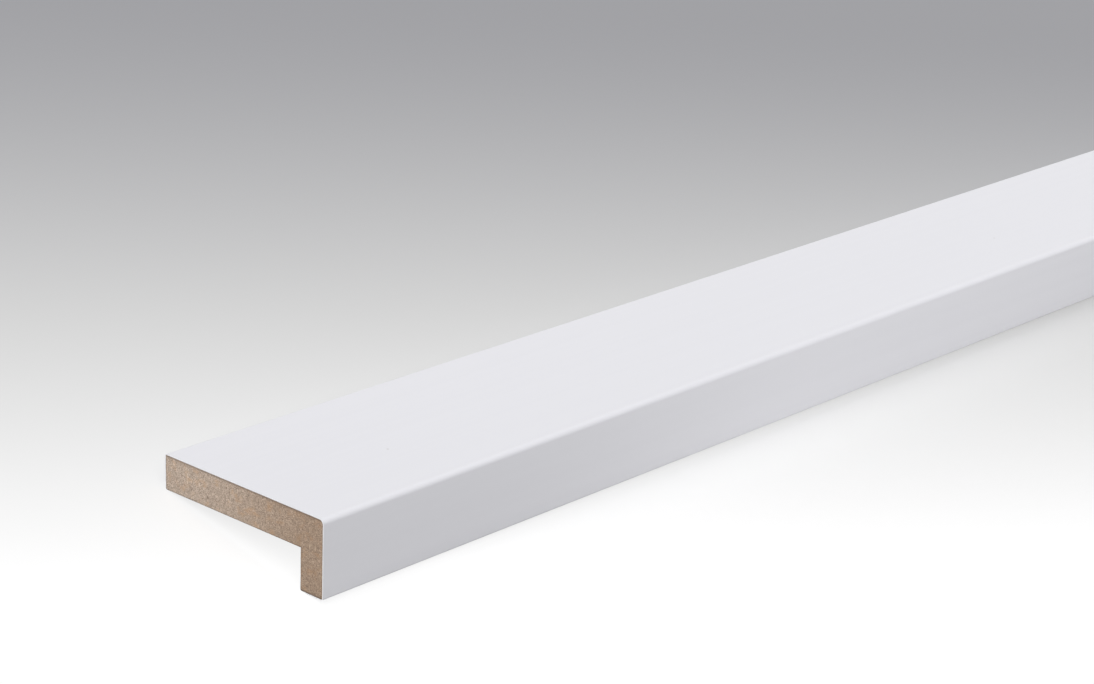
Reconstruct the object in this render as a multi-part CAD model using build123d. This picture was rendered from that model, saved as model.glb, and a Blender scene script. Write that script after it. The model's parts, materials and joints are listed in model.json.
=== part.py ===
from build123d import *

import math
import os

# Angle cover strip: an L-shaped moulding milled from MDF, with a thin white foil glued round
# its show faces. The foil is trimmed just short of the two inner arrises, so the whole inside
# of the angle is bare MDF for the glue. The wide flange covers a joint from above, and the
# short leg hangs over its front edge. All sizes are in millimetres.

# Sizes over the foil
strip_length = 2380.0
strip_width = 60.0
strip_height = 22.0

# Sizes from a foiled face to the bare MDF face behind it
flange_thickness = 10.0
leg_thickness = 8.2

# Foil, and how far short of the inner arrises it is trimmed
foil_thickness = 0.25
foil_trim = 2.0

# Radii of the MDF arrises: the one between top and front, and all the others
show_arris_radius = 1.25
back_arris_radius = 0.4

# Faces of the MDF, as distances back from the front of the strip and up from the tip of the leg
mdf_front = foil_thickness
mdf_back = strip_width - foil_thickness
mdf_tip = foil_thickness
mdf_top = strip_height - foil_thickness
mdf_underside = strip_height - flange_thickness


def milled_section():
    """The MDF outline, with every arris eased and the inner corner left square."""
    return make_face(
        FilletPolyline(
            (mdf_front, mdf_tip),
            (mdf_front, mdf_top),
            (mdf_back, mdf_top),
            (mdf_back, mdf_underside),
            (leg_thickness, mdf_underside),
            (leg_thickness, mdf_tip),
            radius=[
                back_arris_radius,
                show_arris_radius,
                back_arris_radius,
                back_arris_radius,
                0,
                back_arris_radius,
            ],
            close=True,
        )
    )


def foil_section(mdf):
    """The wrap: a skin all round the MDF, opened where the inside of the angle stays bare."""
    skin = offset(mdf, amount=foil_thickness) - mdf
    bare_corner = Pos(leg_thickness - foil_trim, mdf_underside + foil_trim)
    bare = Rectangle(strip_width, strip_height, align=(Align.MIN, Align.MAX))
    return skin - bare_corner * bare


def lying_angle():
    """How far the flange dips backwards when the strip lies on its two inner arrises."""
    return math.degrees(math.atan2(mdf_underside - mdf_tip, mdf_back - leg_thickness))


def drawn_out(section):
    """The section run out to the full length, half to each side, and dipped as it lies."""
    bar = extrude(Plane.YZ * section, amount=strip_length / 2, both=True)
    return Rot(X=-lying_angle()) * bar


mdf_section = milled_section()
mdf_core = drawn_out(mdf_section)
white_foil = drawn_out(foil_section(mdf_section))

# The origin is on the floor, under the middle of the strip
strip_box = Compound([mdf_core, white_foil]).bounding_box()
to_floor = Pos(0, -strip_box.center().Y, -strip_box.min.Z)

os.makedirs("parts", exist_ok=True)
export_step(to_floor * mdf_core, "parts/mdf_core.step")
export_step(to_floor * white_foil, "parts/white_foil.step")
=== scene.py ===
# %% [markdown]
# # Dressing an angle cover strip
# The object is a length of trim: an L-shaped bar milled from MDF, with a thin white foil glued round
# the faces that show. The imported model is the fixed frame. Nothing here moves or resizes it, and this
# lesson adds the finish: the felt of the sawn ends, the satin of the foil, a floor, lights and a
# camera.

# %% Load the frame
import json
import math

import bmesh
import bpy
from mathutils import Matrix, Vector, noise


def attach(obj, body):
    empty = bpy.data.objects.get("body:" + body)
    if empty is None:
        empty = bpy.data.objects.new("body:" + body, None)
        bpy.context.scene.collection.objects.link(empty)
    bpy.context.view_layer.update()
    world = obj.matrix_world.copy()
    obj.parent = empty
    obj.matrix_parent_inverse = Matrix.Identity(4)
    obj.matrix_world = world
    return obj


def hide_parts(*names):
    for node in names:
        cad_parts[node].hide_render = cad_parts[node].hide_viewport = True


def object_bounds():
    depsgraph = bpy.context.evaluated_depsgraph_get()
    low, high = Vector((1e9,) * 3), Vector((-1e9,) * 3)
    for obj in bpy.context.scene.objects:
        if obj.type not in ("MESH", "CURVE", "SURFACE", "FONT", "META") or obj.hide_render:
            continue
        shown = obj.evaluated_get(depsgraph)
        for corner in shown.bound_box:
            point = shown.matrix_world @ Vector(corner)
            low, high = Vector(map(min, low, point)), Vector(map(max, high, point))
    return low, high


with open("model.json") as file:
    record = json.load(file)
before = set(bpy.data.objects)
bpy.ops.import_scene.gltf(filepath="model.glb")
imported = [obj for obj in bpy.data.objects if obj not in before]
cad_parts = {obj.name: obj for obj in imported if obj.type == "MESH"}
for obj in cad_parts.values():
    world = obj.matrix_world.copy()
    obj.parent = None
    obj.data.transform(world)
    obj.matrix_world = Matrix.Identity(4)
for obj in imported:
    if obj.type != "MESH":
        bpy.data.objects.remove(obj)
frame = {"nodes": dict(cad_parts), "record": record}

cad_box = [list(corner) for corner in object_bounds()]
scene = bpy.context.scene
print("nodes:", sorted(frame["nodes"]), "box in metres:", cad_box)

# %% [markdown]
# The strip lies on the floor on its two inner arrises, so its flange dips a little towards the back.
# Places and patterns are easier to give in the strip's own axes: along, back and up. The angle could be
# typed in, but the record already holds it: its two glue faces point the way of these axes.

# %% The strip's own axes
mount_axis = {mount["name"]: Vector(mount["axis"]) for mount in frame["record"]["mounts"]}
along = Vector((1.0, 0.0, 0.0))
back = mount_axis["leg_inner_face"].normalized()
up = -mount_axis["flange_underside"].normalized()
dip = math.atan2(-back.z, back.y)


def reach(node, axis):
    """The lowest and highest place of a node along an axis, in metres."""
    places = [vertex.co.dot(axis) for vertex in frame["nodes"][node].data.vertices]
    return min(places), max(places)


near_end, far_end = reach("white_foil", along)
front_face, back_face = reach("white_foil", back)
tip_face, top_face = reach("white_foil", up)
section_width = back_face - front_face
section_height = top_face - tip_face
show_corner = along * near_end + back * front_face + up * top_face
print("dip in degrees:", round(math.degrees(dip), 2))
print("section over the foil, mm:", round(1000 * section_width, 2), round(1000 * section_height, 2))

# %% [markdown]
# The camera stands where the photograph was taken from. Its place is measured in the strip's own axes,
# from the corner where the top, the front and the near end meet, so the strip fills the picture as it
# does in the photograph. It could be aimed with a Track To constraint, but that leaves no say over the
# roll. So its three axes are worked out from yaw, pitch and roll. The lens is a short telephoto, and it
# needs no shift.

# %% Camera
camera_offset = along * -0.44624 + back * -0.46871 + up * 0.27740
camera_yaw = math.radians(48.335)
camera_pitch = math.radians(19.504)
camera_roll = math.radians(-2.202)
lens_mm = 93.23
sensor_mm = 36.0

level_right = along * math.cos(camera_yaw) - back * math.sin(camera_yaw)
level_forward = along * math.sin(camera_yaw) + back * math.cos(camera_yaw)
forward = level_forward * math.cos(camera_pitch) - up * math.sin(camera_pitch)
plumb = -level_forward * math.sin(camera_pitch) - up * math.cos(camera_pitch)
picture_right = level_right * math.cos(camera_roll) + plumb * math.sin(camera_roll)
picture_up = level_right * math.sin(camera_roll) - plumb * math.cos(camera_roll)

camera_data = bpy.data.cameras.new("photo_camera")
camera_data.lens = lens_mm
camera_data.sensor_width = sensor_mm
camera = bpy.data.objects.new("photo_camera", camera_data)
turned = Matrix((picture_right, picture_up, -forward)).transposed()
camera.matrix_world = Matrix.Translation(show_corner + camera_offset) @ turned.to_4x4()
scene.collection.objects.link(camera)
scene.camera = camera
print("camera at", tuple(round(c, 3) for c in camera.matrix_world.translation))


# %% [markdown]
# Materials are built from nodes. Adding a node, setting it and joining it up takes several lines each
# time, so one helper does all three: an input is filled with a value, or linked when it is another
# node's socket. The other helpers are short names for the nodes that are used most.

# %% Helpers for shader nodes
def add(tree, kind, inputs=None, **settings):
    """Adds one node with its settings, and fills its inputs with values or links."""
    node = tree.nodes.new(kind)
    for name, value in settings.items():
        setattr(node, name, value)
    for name, value in (inputs or {}).items():
        if isinstance(value, bpy.types.NodeSocket):
            tree.links.new(value, node.inputs[name])
        else:
            node.inputs[name].default_value = value
    return node


def sum_up(tree, operation, first, second):
    """The result of one sum on two numbers or sockets."""
    return add(tree, "ShaderNodeMath", {0: first, 1: second}, operation=operation).outputs[0]


def blend(tree, share, under, over):
    """A colour between two colours."""
    inputs = {"Factor": share, "A": under, "B": over}
    return add(tree, "ShaderNodeMix", inputs, data_type="RGBA").outputs["Result"]


def ramp(tree, value, low, high, to_low=0.0, to_high=1.0, smooth=False):
    """A value spread from one range to another, and held at its ends."""
    inputs = {"Value": value, "From Min": low, "From Max": high, "To Min": to_low, "To Max": to_high}
    kind = "SMOOTHSTEP" if smooth else "LINEAR"
    return add(tree, "ShaderNodeMapRange", inputs, interpolation_type=kind).outputs["Result"]


def empty_material(name):
    """A material with no nodes yet, and its tree."""
    material = bpy.data.materials.new(name)
    material.use_nodes = True
    material.node_tree.nodes.clear()
    return material, material.node_tree


print("helpers ready: add, sum_up, blend, ramp, empty_material")

# %% [markdown]
# The strip lies on a sheet of studio paper. Studios curve it up behind the object to hide the horizon.
# This camera looks down, so one flat square that reaches well past the picture is enough.

# %% Floor
floor_half = 15.0

floor_mesh = bpy.data.meshes.new("studio_floor")
shape = bmesh.new()
bmesh.ops.create_grid(shape, x_segments=1, y_segments=1, size=floor_half)
shape.to_mesh(floor_mesh)
shape.free()
floor = bpy.data.objects.new("studio_floor", floor_mesh)
scene.collection.objects.link(floor)
print("floor laid, metres across:", 2 * floor_half)

# %% [markdown]
# Two masks steer how the paper looks. The first one picks the rays that show it as a background:
# straight from the camera, by way of a gloss or through glass. Rays of soft, scattered light aren't
# among them. The second one marks the paper right under the strip. It could be painted on the vertices
# of a finer floor, but the distance to the strip's box gives it on a single square.

# %% Masks for the paper
under_reach = 0.002


def seen_mask(tree):
    """One for rays that show the background: straight, by way of a gloss or through glass."""
    rays = add(tree, "ShaderNodeLightPath").outputs
    straight_or_gloss = sum_up(tree, "MAXIMUM", rays["Is Camera Ray"], rays["Is Glossy Ray"])
    return sum_up(tree, "MAXIMUM", straight_or_gloss, rays["Is Transmission Ray"])


def strip_mask(tree, place):
    """One on the floor under the strip, fading to nought just outside it."""
    half_size = [(high - low) / 2.0 for low, high in zip(*cad_box)]
    from_middle = add(tree, "ShaderNodeVectorMath", {0: place}, operation="ABSOLUTE").outputs[0]
    inset = add(tree, "ShaderNodeVectorMath", {0: half_size, 1: from_middle}, operation="SUBTRACT")
    inset_axes = add(tree, "ShaderNodeSeparateXYZ", {0: inset.outputs[0]}).outputs
    nearest = sum_up(tree, "MINIMUM", inset_axes["X"], inset_axes["Y"])
    return ramp(tree, nearest, -under_reach, 0.0, smooth=True)


print("masks ready: seen_mask, and strip_mask that fades over mm:", 1000 * under_reach)

# %% [markdown]
# A floor of one colour would swallow a white strip. So the paper looks white in front and fades to grey
# behind, as a studio sweep does. White paper everywhere would throw more light up at the strip than the
# photograph shows: its front is shaded at the near end, and gets paler along. So the paper itself is
# grey near that end and whiter further along. What is missing to its look is added as a glow, but only
# for rays that show the background. It adds no soft light to the strip, and the strip's shadow stays.
# The sums reckon with the light that falls on open paper, so that paper and glow add up to the look.
#
# The photograph shows hardly any shade where the strip meets the floor. Shade only takes away what the
# paper itself sends back, so right under the near stretch of the strip the paper is dark and the glow
# makes up the rest: the shade is still there, but faint.

# %% Paper
fade_heading = Vector((0.432, 0.902, 0.0))
fade_from, fade_to = -0.158, -0.560
fade_curve = 1.74
look_behind, look_in_front = 0.366, 1.138
whitest_look = 1.03
whiter_from, whiter_to = near_end + 0.04, near_end + 0.22
paper_near, paper_along, paper_under = 0.46, 0.92, 0.16
under_from, under_to = near_end + 0.5, near_end + 1.2
paper_light = 0.985
cool_behind, cool_until = 0.018, 0.4

paper, tree = empty_material("studio_paper")
place = add(tree, "ShaderNodeTexCoord").outputs["Object"]
along_fade = add(tree, "ShaderNodeVectorMath", {0: place, 1: fade_heading}, operation="DOT_PRODUCT")
depth = along_fade.outputs["Value"]
# The fade is painted light and shade on the paper: white in front by the glow, grey behind by painted
# shade.
whiteness = sum_up(tree, "POWER", ramp(tree, depth, fade_from, fade_to), fade_curve)
fade = ramp(tree, whiteness, 0.0, 1.0, look_behind, look_in_front)
look = sum_up(tree, "MINIMUM", fade, whitest_look)

run = add(tree, "ShaderNodeSeparateXYZ", {0: place}).outputs["X"]
open_tone = ramp(tree, run, whiter_from, whiter_to, paper_near, paper_along, smooth=True)
under_tone = ramp(tree, run, under_from, under_to, paper_under, paper_along, smooth=True)
own_tone = ramp(tree, strip_mask(tree, place), 0.0, 1.0, open_tone, under_tone)
# Behind, the paper's own tone is held down to the fading look, which paints the shade there.
tone = sum_up(tree, "MINIMUM", own_tone, sum_up(tree, "DIVIDE", look, paper_light))
missing = sum_up(tree, "SUBTRACT", look, sum_up(tree, "MULTIPLY", tone, paper_light))

cooler = sum_up(tree, "ADD", tone, ramp(tree, whiteness, 0.0, cool_until, cool_behind, 0.0))
grey = add(tree, "ShaderNodeCombineColor", {"Red": tone, "Green": tone, "Blue": cooler}).outputs[0]
diffuse = add(tree, "ShaderNodeBsdfDiffuse", {"Color": grey})
glow = add(tree, "ShaderNodeEmission", {"Strength": sum_up(tree, "MULTIPLY", missing, seen_mask(tree))})
both = add(tree, "ShaderNodeAddShader", {0: diffuse.outputs[0], 1: glow.outputs[0]})
add(tree, "ShaderNodeOutputMaterial", {"Surface": both.outputs[0]})
floor_mesh.materials.append(paper)
print("material:", paper.name, "nodes:", len(tree.nodes))

# %% [markdown]
# The soft edge between top and front tells where the light comes from: it stays as pale as the top half
# way round, and only then falls into shade. So the main light is a wide sun above, a little in front
# and well over to the near end, with a dim sky to fill. A sun lights the whole long strip alike, as a
# far studio light does, where lamps close by would each leave a bright spot. The sky is white for rays
# that come by way of a gloss, as a studio's walls are: the top, which is seen at a slant, mirrors more
# of it than the arris does, and that keeps a bright line off the arris.

# %% Lights
sky_strength = 0.20
sky_in_gloss = 1.0
key_heading = up * 0.89 - back * 0.34 - along * 0.73
sun_energy = 3.067
sun_width = math.radians(76.0)

world = bpy.data.worlds.new("studio_air")
scene.world = world
world.use_nodes = True
tree = world.node_tree
tree.nodes.clear()
strength = ramp(tree, seen_mask(tree), 0.0, 1.0, sky_strength, sky_in_gloss)
air = add(tree, "ShaderNodeBackground", {"Color": (1.0, 1.0, 1.0, 1.0), "Strength": strength})
add(tree, "ShaderNodeOutputWorld", {"Surface": air.outputs[0]})

sun = bpy.data.lights.new("wide_sun", "SUN")
sun.energy = sun_energy
sun.angle = sun_width
wide_sun = bpy.data.objects.new("wide_sun", sun)
wide_sun.matrix_world = key_heading.to_track_quat("Z", "Y").to_matrix().to_4x4()
wide_sun.visible_camera = False
scene.collection.objects.link(wide_sun)
scene.view_settings.view_transform = "Standard"
print("the sun shines from", tuple(round(c, 2) for c in key_heading.normalized()))


# %% [markdown]
# Both finishes follow the strip, which lies at an angle in the frame. Each pattern could be turned by
# itself, but turning the coordinates once is simpler. So each finish first takes its Object coordinates
# into the strip's own axes, with zero half way along the arris between top and front: x is along, y is
# back and z is up, which makes z negative everywhere below the top.

# %% Axes for the finishes
def own_axes(tree):
    """Coordinates along, back and up, in metres from the middle of the arris between top and front."""
    place = add(tree, "ShaderNodeTexCoord").outputs["Object"]
    turn = {"Vector": place, "Rotation": (dip, 0.0, 0.0), "Location": (0.0, -front_face, -top_face)}
    return add(tree, "ShaderNodeMapping", turn, vector_type="POINT").outputs["Vector"]


print("finishes start at, mm back and up:", round(1000 * front_face, 2), round(1000 * top_face, 2))

# %% [markdown]
# Some effects serve both finishes. If their nodes were copied from one material to the other, a change
# to one would leave the other behind. So each effect is a node group: it is built once, and each
# material places it with values of its own.

# %% Helpers for node groups
VECTOR, NUMBER = "NodeSocketVector", "NodeSocketFloat"


def new_group(name, inputs, outputs):
    """An empty node group with these sockets, its input node's sockets and its output node's."""
    group = bpy.data.node_groups.new(name, "ShaderNodeTree")
    for title, kind in inputs.items():
        group.interface.new_socket(title, in_out="INPUT", socket_type=kind)
    for title, kind in outputs.items():
        group.interface.new_socket(title, in_out="OUTPUT", socket_type=kind)
    entry = group.nodes.new("NodeGroupInput")
    leave = group.nodes.new("NodeGroupOutput")
    return group, entry.outputs, leave.inputs


def use(tree, group, output, **inputs):
    """Places a node group in a material and gives one of its outputs."""
    return add(tree, "ShaderNodeGroup", inputs, node_tree=group).outputs[output]


print("helpers ready: new_group, use")

# %% [markdown]
# Three effects are shared. *Grain* is noise with its own fineness along each axis, because both the
# felt and the rollers' streaks are longer one way than the other. *Specks* are small spots strewn at
# random: each cell of a Voronoi texture may hold one, and only a share of them do. *Cut edge* marks
# what lies close to either sawn end.

# %% Grain, specks and cut edge
noise_middle = 0.5
core_share = 0.4
half_length = (far_end - near_end) / 2.0

grain_group, given, made = new_group(
    "Grain", {"Place": VECTOR, "Fineness": VECTOR, "Contrast": NUMBER}, {"Value": NUMBER}
)
stretch = {0: given["Place"], 1: given["Fineness"]}
scaled = add(grain_group, "ShaderNodeVectorMath", stretch, operation="MULTIPLY")
clouds = add(
    grain_group, "ShaderNodeTexNoise",
    {"Vector": scaled.outputs[0], "Scale": 1.0, "Detail": 4.0, "Roughness": 0.6},
)
centred = sum_up(grain_group, "SUBTRACT", clouds.outputs["Fac"], noise_middle)
spread = sum_up(grain_group, "MULTIPLY", centred, given["Contrast"])
grain_group.links.new(sum_up(grain_group, "ADD", spread, noise_middle), made["Value"])

speck_group, given, made = new_group(
    "Specks", {"Place": VECTOR, "Spacing": NUMBER, "Radius": NUMBER, "Share": NUMBER}, {"Mask": NUMBER}
)
per_metre = sum_up(speck_group, "DIVIDE", 1.0, given["Spacing"])
cells = add(speck_group, "ShaderNodeTexVoronoi", {"Vector": given["Place"], "Scale": per_metre})
metres = sum_up(speck_group, "MULTIPLY", cells.outputs["Distance"], given["Spacing"])
core = sum_up(speck_group, "MULTIPLY", given["Radius"], core_share)
spot = ramp(speck_group, metres, given["Radius"], core, smooth=True)
chance = add(speck_group, "ShaderNodeSeparateColor", {"Color": cells.outputs["Color"]}).outputs["Red"]
kept = sum_up(speck_group, "LESS_THAN", chance, given["Share"])
speck_group.links.new(sum_up(speck_group, "MULTIPLY", spot, kept), made["Mask"])

cut_group, given, made = new_group("Cut edge", {"Place": VECTOR, "Reach": NUMBER}, {"Mask": NUMBER})
run = add(cut_group, "ShaderNodeSeparateXYZ", {0: given["Place"]}).outputs["X"]
from_middle = add(cut_group, "ShaderNodeMath", {0: run}, operation="ABSOLUTE").outputs[0]
inset = sum_up(cut_group, "SUBTRACT", half_length, from_middle)
cut_group.links.new(ramp(cut_group, inset, given["Reach"], 0.0, smooth=True), made["Mask"])
print("groups:", [group.name for group in (grain_group, speck_group, cut_group)])

# %% [markdown]
# MDF is a felt of wood fibres pressed into a board. The fibres lie in layers, flat with the board, so a
# sawn end shows a fine mottle that is longer than it is high, with dark bark specks, pale fibre
# bundles, a few ruddy patches and slow clouds. A picture of MDF could be laid on, but it would have to
# repeat along the strip. Noise and cells don't. The milled faces inside the angle are the same stuff,
# burnished smoother by the cutter, so the finish also marks what the saw laid bare.

# %% Fibres of the MDF
sawn_reach = 0.0006
felt_in_mottle, fluff_in_mottle = 0.4, 0.6
ruddy_from, ruddy_full = 0.52, 0.70

mdf, tree = empty_material("mdf_felt")
place = own_axes(tree)
felt = use(tree, grain_group, "Value", Place=place, Fineness=(700.0, 700.0, 1300.0), Contrast=2.6)
fluff = use(tree, grain_group, "Value", Place=place, Fineness=(1900.0, 1900.0, 4200.0), Contrast=4.6)
cloudy = use(tree, grain_group, "Value", Place=place, Fineness=(110.0, 110.0, 200.0), Contrast=2.4)
patches = use(tree, grain_group, "Value", Place=place, Fineness=(330.0, 330.0, 450.0), Contrast=1.0)
bark = use(tree, speck_group, "Mask", Place=place, Spacing=0.0032, Radius=0.0006, Share=0.35)
bundle = use(tree, speck_group, "Mask", Place=place, Spacing=0.0017, Radius=0.0005, Share=0.3)
sawn = use(tree, cut_group, "Mask", Place=place, Reach=sawn_reach)
ruddy = ramp(tree, patches, ruddy_from, ruddy_full)
felt_part = sum_up(tree, "MULTIPLY", felt, felt_in_mottle)
fluff_part = sum_up(tree, "MULTIPLY", fluff, fluff_in_mottle)
mottle = sum_up(tree, "ADD", felt_part, fluff_part)
print("material:", mdf.name, "patterns placed:", sum(node.type == "GROUP" for node in tree.nodes))

# %% [markdown]
# The pressed faces of the board are denser and darker than its middle, and the glue under the foil
# darkens a hair's breadth more, so a thin dark line follows the outline of the sawn end. Along the
# milled faces the line is weaker, and there it is painted shade, as at a rim that the saw broke out. It
# needs the distance to the nearest long face. That could be painted on the vertices, but the section is
# so simple that a few sums give it exactly. Top and tip are the pressed faces, so they are measured apart
# and get a stronger line than the milled ones. At the re-entrant corner the larger of two distances
# counts.

# %% Dark line and painted shade round the sawn end
pressed_reach, pressed_full, pressed_share = 0.0008, 0.0001, 0.75
milled_reach, milled_share = 0.0005, 0.5

core_front, core_back = (face_place - front_face for face_place in reach("mdf_core", back))
core_tip, core_top = (face_place - top_face for face_place in reach("mdf_core", up))
mount_place = {mount["name"]: Vector(mount["pos_m"]) for mount in frame["record"]["mounts"]}
leg_inside = mount_place["leg_inner_face"].dot(back) - front_face
underside = mount_place["flange_underside"].dot(up) - top_face


def depth_in_section(tree, place):
    """How deep a point of the sawn end lies below the pressed and below the milled faces, in metres."""
    axes = add(tree, "ShaderNodeSeparateXYZ", {0: place}).outputs
    below_top = sum_up(tree, "SUBTRACT", core_top, axes["Z"])
    above_tip = sum_up(tree, "SUBTRACT", axes["Z"], core_tip)
    behind_front = sum_up(tree, "SUBTRACT", axes["Y"], core_front)
    before_back = sum_up(tree, "SUBTRACT", core_back, axes["Y"])
    in_leg = sum_up(tree, "SUBTRACT", leg_inside, axes["Y"])
    in_flange = sum_up(tree, "SUBTRACT", axes["Z"], underside)
    outer = sum_up(tree, "MINIMUM", behind_front, before_back)
    inner = sum_up(tree, "MAXIMUM", in_leg, in_flange)
    return sum_up(tree, "MINIMUM", below_top, above_tip), sum_up(tree, "MINIMUM", outer, inner)


under_pressed, under_milled = depth_in_section(tree, place)
pressed_line = ramp(tree, under_pressed, pressed_reach, pressed_full, 0.0, pressed_share, smooth=True)
# Along the milled faces this line is painted shade, as at a rim that the saw broke out.
milled_line_and_shade = ramp(tree, under_milled, milled_reach, 0.0, 0.0, milled_share, smooth=True)
line = sum_up(tree, "MULTIPLY", sum_up(tree, "MAXIMUM", pressed_line, milled_line_and_shade), sawn)
print("leg inside and underside, mm:", round(1000 * leg_inside, 2), round(1000 * underside, 2))

# %% [markdown]
# The colours go on from the ground up: first the mottle, then each kind of patch and speck over it,
# then the dark line with its painted shade, and the clouds. A colour ramp could hold them all, but then
# no mask could be weakened by itself. From the leg to the back edge the end gets paler and greyer in the
# photograph, and a slow drift across the section gives that: partly a drift in the board's own colour,
# partly painted light, brighter towards the back edge and shaded towards the leg. The same patterns give
# the bump and tell how rough the surface is.

# %% MDF finish
felt_dark, felt_pale = (0.21, 0.157, 0.119, 1.0), (0.67, 0.520, 0.407, 1.0)
ruddy_brown, ruddy_share = (0.52, 0.325, 0.190, 1.0), 0.6
bark_brown, bark_share = (0.17, 0.115, 0.080, 1.0), 0.45
bundle_tan, bundle_share = (0.72, 0.58, 0.460, 1.0), 0.45
line_and_shade_brown = (0.165, 0.125, 0.097, 1.0)
cloud_brown, cloud_share = (0.30, 0.218, 0.162, 1.0), 0.2
cloud_from, cloud_full = 0.2, 0.8
# The drift is partly the board's own colour and partly painted light: brighter at the back, shaded at the
# leg.
drift_and_shade_at_leg, drift_and_light_at_back = (0.86, 0.82, 0.775, 1.0), (1.125, 1.17, 1.22, 1.0)
drift_and_light_width = 0.050
bark_hollow = 0.8
milled_roughness, sawn_roughness = 0.62, 0.92


def stain(tree, colour, mask, share, over):
    """A colour with another one laid over it where a mask says so, by no more than a share."""
    return blend(tree, sum_up(tree, "MULTIPLY", mask, share), colour, over)


colour = blend(tree, mottle, felt_dark, felt_pale)
colour = stain(tree, colour, ruddy, ruddy_share, ruddy_brown)
colour = stain(tree, colour, bark, bark_share, bark_brown)
colour = stain(tree, colour, bundle, bundle_share, bundle_tan)
# The dark line: the board's own skin and glue along the pressed faces, painted shade along the milled
# ones.
colour = blend(tree, line, colour, line_and_shade_brown)
clouded = ramp(tree, cloudy, cloud_from, cloud_full, 0.0, cloud_share)
colour = blend(tree, clouded, colour, cloud_brown)
# Painted light and shade across the section, on top of the board's own drift in colour.
across = add(tree, "ShaderNodeSeparateXYZ", {0: place}).outputs["Y"]
paler = ramp(tree, across, 0.0, drift_and_light_width, smooth=True)
tint = {"Factor": 1.0, "A": colour, "B": blend(tree, paler, drift_and_shade_at_leg, drift_and_light_at_back)}
toned = add(tree, "ShaderNodeMix", tint, data_type="RGBA", blend_type="MULTIPLY")

height = sum_up(tree, "SUBTRACT", mottle, sum_up(tree, "MULTIPLY", bark, bark_hollow))
bump = add(tree, "ShaderNodeBump", {"Height": height, "Strength": 0.35, "Distance": 0.0001})
skin = add(
    tree, "ShaderNodeBsdfPrincipled",
    {
        "Base Color": toned.outputs["Result"],
        "Roughness": ramp(tree, sawn, 0.0, 1.0, milled_roughness, sawn_roughness),
        "Specular IOR Level": 0.25,
        "Normal": bump.outputs["Normal"],
    },
)
add(tree, "ShaderNodeOutputMaterial", {"Surface": skin.outputs["BSDF"]})
print("material:", mdf.name, "nodes:", len(tree.nodes))

# %% [markdown]
# The foil is a thin plastic film, printed plain white with a satin lacquer. One flat white would look
# like paint on a screen, and the real film isn't that even: it has a fine orange peel, the rollers
# leave faint streaks along it, the board below shows through as a slow ripple, and a few dust nibs are
# caught under it. The photograph shows two nibs on the top, and these are put where they are seen. At
# the saw cut the film is bruised for a few tenths of a millimetre.

# %% Flaws of the foil
nib_places = ((0.0450, 0.0231), (0.3274, 0.0220))
nib_radius = 0.00055
bruise_reach = 0.0004

foil, tree = empty_material("white_satin_foil")
place = own_axes(tree)
peel = use(tree, grain_group, "Value", Place=place, Fineness=(750.0, 750.0, 750.0), Contrast=1.0)
streaks = use(tree, grain_group, "Value", Place=place, Fineness=(2.5, 380.0, 380.0), Contrast=1.6)
ripple = use(tree, grain_group, "Value", Place=place, Fineness=(35.0, 60.0, 60.0), Contrast=1.0)
dust = use(tree, speck_group, "Mask", Place=place, Spacing=0.030, Radius=0.0004, Share=0.4)
bruise = use(tree, cut_group, "Mask", Place=place, Reach=bruise_reach)

flaws = dust
for distance_along, distance_back in nib_places:
    nib = (near_end + distance_along, distance_back, 0.0)
    away = add(tree, "ShaderNodeVectorMath", {0: place, 1: nib}, operation="DISTANCE").outputs["Value"]
    flaws = sum_up(tree, "MAXIMUM", flaws, ramp(tree, away, nib_radius, 0.0, smooth=True))
print("material:", foil.name, "nibs placed:", len(nib_places))

# %% [markdown]
# Satin is a matter of roughness: low enough that the top mirrors a haze of the sky at a slant, and high
# enough that nothing is drawn sharply in it. The streaks vary it slightly, and the bruise at the cut
# dulls it. The slow ripple and the fine peel are two bumps in a row, because they differ so much in
# size that one strength can't suit both.

# %% Foil finish
white_low, white_high = (0.820, 0.818, 0.859, 1.0), (0.840, 0.838, 0.879, 1.0)
flaw_grey, flaw_share = (0.42, 0.40, 0.38, 1.0), 0.5
bruise_white, bruise_share = (0.90, 0.89, 0.87, 1.0), 0.25
satin_low, satin_high, bruise_dulling = 0.38, 0.44, 0.25

colour = blend(tree, streaks, white_low, white_high)
colour = stain(tree, colour, flaws, flaw_share, flaw_grey)
colour = stain(tree, colour, bruise, bruise_share, bruise_white)
satin = ramp(tree, streaks, 0.0, 1.0, satin_low, satin_high)
dulled = sum_up(tree, "ADD", satin, sum_up(tree, "MULTIPLY", bruise, bruise_dulling))
slow = add(tree, "ShaderNodeBump", {"Height": ripple, "Strength": 0.10, "Distance": 0.0006})
fine = add(
    tree, "ShaderNodeBump",
    {
        "Height": sum_up(tree, "ADD", peel, flaws),
        "Strength": 0.06,
        "Distance": 0.00006,
        "Normal": slow.outputs["Normal"],
    },
)
skin = add(
    tree, "ShaderNodeBsdfPrincipled",
    {
        "Base Color": colour,
        "Roughness": dulled,
        "Specular IOR Level": 0.5,
        "Normal": fine.outputs["Normal"],
    },
)
add(tree, "ShaderNodeOutputMaterial", {"Surface": skin.outputs["BSDF"]})
white_foil = frame["nodes"]["white_foil"]
white_foil.data.materials.clear()
white_foil.data.materials.append(foil)
print("material:", foil.name, "nodes:", len(tree.nodes))

# %% [markdown]
# A saw leaves the ends of the bar slightly rough. Bump would only pretend, and at the rim of the cut it
# shows, so the relief is real, and this function gives its depth at each point. It adds the felt's own
# noise, a few torn pits and the shallow arcs of the saw blade, which bites deeper in some places than
# in others. A Displace modifier could do the same with textures, but three sums in a function are
# easier to follow.

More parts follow.
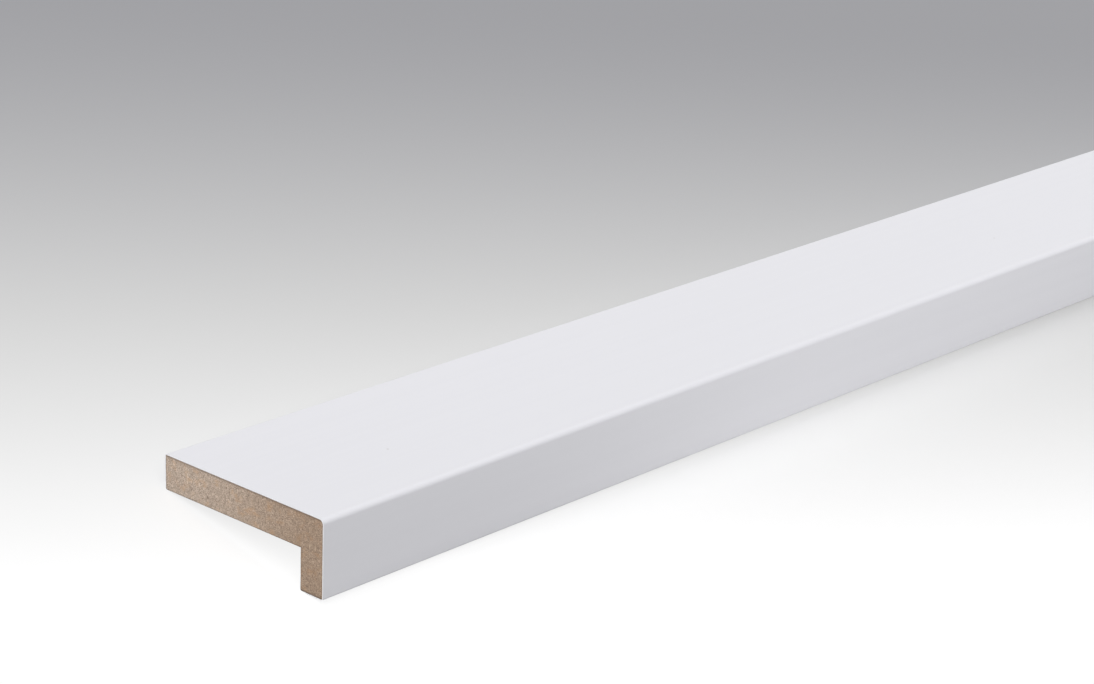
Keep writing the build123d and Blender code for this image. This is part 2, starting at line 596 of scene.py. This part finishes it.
# %% Depth of the saw marks
felt_depth, felt_fineness = 0.00005, (1100.0, 2200.0, 7.0)
pit_depth, pit_fineness = 0.00009, (420.0, 700.0, 3.0)
arc_depth, bite_fineness = 0.00003, (90.0, 90.0, 5.0)
felt_layer, pit_layer, bite_layer = 0.0, 20.0, 40.0
pit_from = 0.45
arc_pitch = 0.0009
blade_centre = Vector((0.22, 0.03))


def end_noise(back_place, up_place, end, fineness, layer):
    """Smooth noise over an end face, from minus one to one, with its own fineness back, up and by end."""
    fine_back, fine_up, fine_end = fineness
    return noise.noise(Vector((back_place * fine_back, up_place * fine_up, end * fine_end + layer)))


def to_share(wave):
    """A wave between minus one and one, brought to between nought and one."""
    return 0.5 + 0.5 * wave


def sawn_depth(back_place, up_place, end):
    """How far the saw pressed in or tore out this point of an end face, in metres."""
    felt_share = to_share(end_noise(back_place, up_place, end, felt_fineness, felt_layer))
    torn = end_noise(back_place, up_place, end, pit_fineness, pit_layer)
    pit_share = max(0.0, torn - pit_from) / (1.0 - pit_from)
    from_blade = (Vector((back_place, up_place)) - blade_centre).length
    arc_share = to_share(math.sin(math.tau * from_blade / arc_pitch))
    bite_share = to_share(end_noise(back_place, up_place, end, bite_fineness, bite_layer))
    return felt_depth * felt_share + pit_depth * pit_share + arc_depth * arc_share * bite_share


print("deepest saw mark possible, mm:", round(1000 * (felt_depth + pit_depth + arc_depth), 3))

# %% [markdown]
# The relief needs points to press in. The frame's bar is loose triangles, so a copy of it is merged
# into clean faces. A cut round the bar just behind each end keeps its long faces straight from there
# on. Then the two end faces are sliced into a fine grid by bisecting them again and again, which keeps
# the outline exact where a remesh would blur it. Points only move inwards, so the strip keeps its
# length.

# %% Bar with sawn ends
merge_within = 1e-6
flat_within = math.radians(1.0)
grid_step = 0.00022
end_margin = 0.001
facing_along = 0.99

bar = bmesh.new()
bar.from_mesh(frame["nodes"]["mdf_core"].data)
bmesh.ops.remove_doubles(bar, verts=bar.verts, dist=merge_within)
bmesh.ops.dissolve_limit(bar, angle_limit=flat_within, verts=bar.verts, edges=bar.edges)
for end in (-1.0, 1.0):
    margin = along * end * (half_length - end_margin)
    whole = bar.verts[:] + bar.edges[:] + bar.faces[:]
    bmesh.ops.bisect_plane(bar, geom=whole, plane_co=margin, plane_no=along)

end_faces = [face for face in bar.faces if abs(face.normal.x) > facing_along]
sliced = end_faces + list({edge for face in end_faces for edge in face.edges})
sliced += list({vertex for face in end_faces for vertex in face.verts})
for axis, low, high in ((back, front_face, back_face), (up, tip_face, top_face)):
    for step in range(1, int((high - low) / grid_step) + 1):
        cut = axis * (low + step * grid_step)
        sliced = bmesh.ops.bisect_plane(bar, geom=sliced, plane_co=cut, plane_no=axis)["geom"]

for vertex in bar.verts:
    end = math.copysign(1.0, vertex.co.x)
    if half_length - abs(vertex.co.x) < 0.5 * end_margin:
        vertex.co.x -= end * sawn_depth(vertex.co.dot(back), vertex.co.dot(up), end)
print("bar faces:", len(bar.faces))

# %% [markdown]
# Some programs can't run these nodes, so the finish may be baked into a picture that is laid on the
# mesh by a UV map. An automatic map gives every face the same scale, and on a strip this long the two
# ends would get only a few pixels each. So the bar brings its own map. The ends lie side by side along
# its lower edge, drawn large. The long faces are four rows above them, one for each way that they face.
# No two faces of an L that face the same way lie over each other, so a row is just a flat projection.

# %% Map of the bar
map_edge = 0.01
end_scale = (0.5 - 2.0 * map_edge) / section_width
rows_low = 2.0 * map_edge + end_scale * section_height
row_scale = (1.0 - 5.0 * map_edge - rows_low) / (2.0 * (section_width + section_height))
wide_row = row_scale * section_width + map_edge
low_row = row_scale * section_height + map_edge
rows_high = rows_low + 2.0 * (wide_row + low_row)


def place_on_map(normal, point):
    """Where a corner of a face goes on the map, from the way that the face points."""
    share_along = (point.x - near_end) / (far_end - near_end)
    run = map_edge + (1.0 - 2.0 * map_edge) * share_along
    behind_front = point.dot(back) - front_face
    above_tip = point.dot(up) - tip_face
    if abs(normal.x) > 0.5:
        left = map_edge + 0.5 * (normal.x > 0.0)
        return left + end_scale * behind_front, map_edge + end_scale * above_tip
    if abs(normal.dot(up)) > abs(normal.dot(back)):
        low = rows_low + wide_row * (normal.dot(up) > 0.0)
        return run, low + row_scale * behind_front
    low = rows_low + 2.0 * wide_row + low_row * (normal.dot(back) > 0.0)
    return run, low + row_scale * above_tip


bar.normal_update()
bake_map = bar.loops.layers.uv.new("OFBake")
for face in bar.faces:
    for loop in face.loops:
        loop[bake_map].uv = place_on_map(face.normal, loop.vert.co)
print("map rows start at", round(rows_low, 3), "and end at", round(rows_high, 3))

# %% [markdown]
# The finished bar becomes an object. It takes the place of the bare bar of the frame, and rides on the
# one body that the part has. Its arrises are shaded smooth. If every edge were, the shading would bleed
# round the rims of the cut, so edges that turn sharply stay sharp.

# %% The bar as a piece
sharp_from = math.radians(30.0)

bar_mesh = bpy.data.meshes.new("mdf_bar")
bar.to_mesh(bar_mesh)
bar.free()
bar_mesh.shade_smooth()
bar_mesh.set_sharp_from_angle(angle=sharp_from)
bar_mesh.materials.append(mdf)
mdf_bar = bpy.data.objects.new("mdf_bar", bar_mesh)
scene.collection.objects.link(mdf_bar)
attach(mdf_bar, "root")
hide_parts("mdf_core")
print("piece:", mdf_bar.name, "vertices:", len(bar_mesh.vertices))
